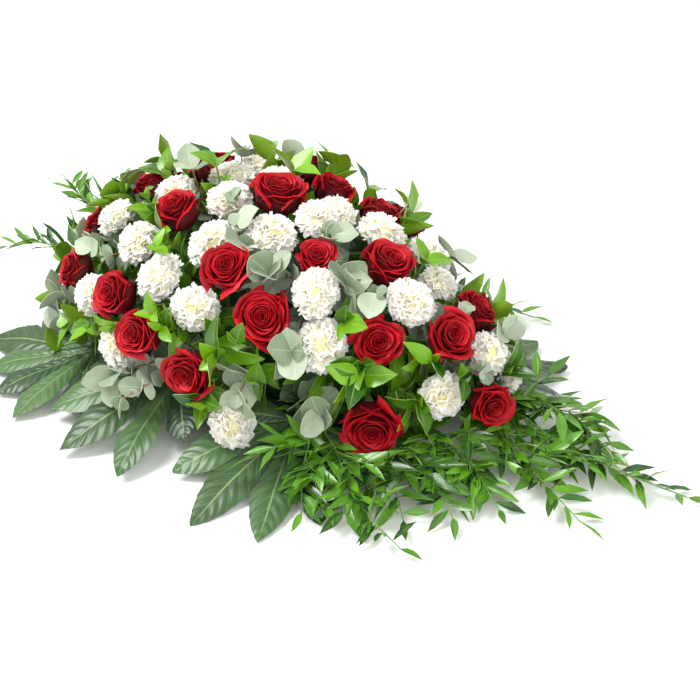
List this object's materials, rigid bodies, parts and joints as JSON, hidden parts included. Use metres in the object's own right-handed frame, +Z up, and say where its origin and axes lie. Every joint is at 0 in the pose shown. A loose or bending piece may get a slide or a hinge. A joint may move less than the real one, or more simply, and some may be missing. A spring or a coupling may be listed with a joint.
{
  "type": "funeral flower arrangement",
  "caption": "Low mound of dark red roses and white carnations with mixed greenery, its stems pushed into wet foam in a tray that rests on the ground.",
  "frame": {"origin": "Centre of the underside of the tray, on the surface it rests on.", "axes": "+X runs along the tray towards the trailing end, +Y across it to the far side of the picture, +Z up."},
  "size_m": [0.9165, 0.63, 0.2953],
  "materials": {
    "tray_plastic": "moulded",
    "floral_foam": "open cell, wet",
    "rose_petal": "velvety",
    "carnation_petal": "soft, thin",
    "aralia_leaf": "glossy",
    "eucalyptus_leaf": "powdery, matt",
    "broad_ruscus_leaf": "satin",
    "italian_ruscus_leaf": "satin"
  },
  "bodies": {
    "root": {"tray": "tray_plastic", "foam": "floral_foam", "rose_01": "rose_petal", "rose_02": "rose_petal", "rose_03": "rose_petal", "rose_04": "rose_petal", "rose_05": "rose_petal", "rose_06": "rose_petal", "rose_07": "rose_petal", "rose_08": "rose_petal", "rose_09": "rose_petal", "rose_10": "rose_petal", "rose_11": "rose_petal", "rose_12": "rose_petal", "rose_13": "rose_petal", "rose_14": "rose_petal", "rose_15": "rose_petal", "rose_16": "rose_petal", "rose_17": "rose_petal", "rose_18": "rose_petal", "rose_19": "rose_petal", "rose_20": "rose_petal", "rose_21": "rose_petal", "rose_22": "rose_petal", "rose_23": "rose_petal", "rose_24": "rose_petal", "rose_25": "rose_petal", "rose_26": "rose_petal", "rose_27": "rose_petal", "rose_28": "rose_petal", "carnations_01": "carnation_petal", "carnations_02": "carnation_petal", "carnations_03": "carnation_petal", "carnations_04": "carnation_petal", "carnations_05": "carnation_petal", "carnations_06": "carnation_petal", "carnations_07": "carnation_petal", "carnations_08": "carnation_petal", "carnations_09": "carnation_petal", "carnations_10": "carnation_petal", "aralia_01": "aralia_leaf", "aralia_02": "aralia_leaf", "aralia_03": "aralia_leaf", "aralia_04": "aralia_leaf", "aralia_05": "aralia_leaf", "aralia_06": "aralia_leaf", "eucalyptus_01": "eucalyptus_leaf", "eucalyptus_02": "eucalyptus_leaf", "eucalyptus_03": "eucalyptus_leaf", "eucalyptus_04": "eucalyptus_leaf", "eucalyptus_05": "eucalyptus_leaf", "broad_ruscus_01": "broad_ruscus_leaf", "broad_ruscus_02": "broad_ruscus_leaf", "broad_ruscus_03": "broad_ruscus_leaf", "broad_ruscus_04": "broad_ruscus_leaf", "broad_ruscus_05": "broad_ruscus_leaf", "italian_ruscus_01": "italian_ruscus_leaf", "italian_ruscus_02": "italian_ruscus_leaf", "italian_ruscus_03": "italian_ruscus_leaf", "italian_ruscus_04": "italian_ruscus_leaf"}
  },
  "joints": []
}
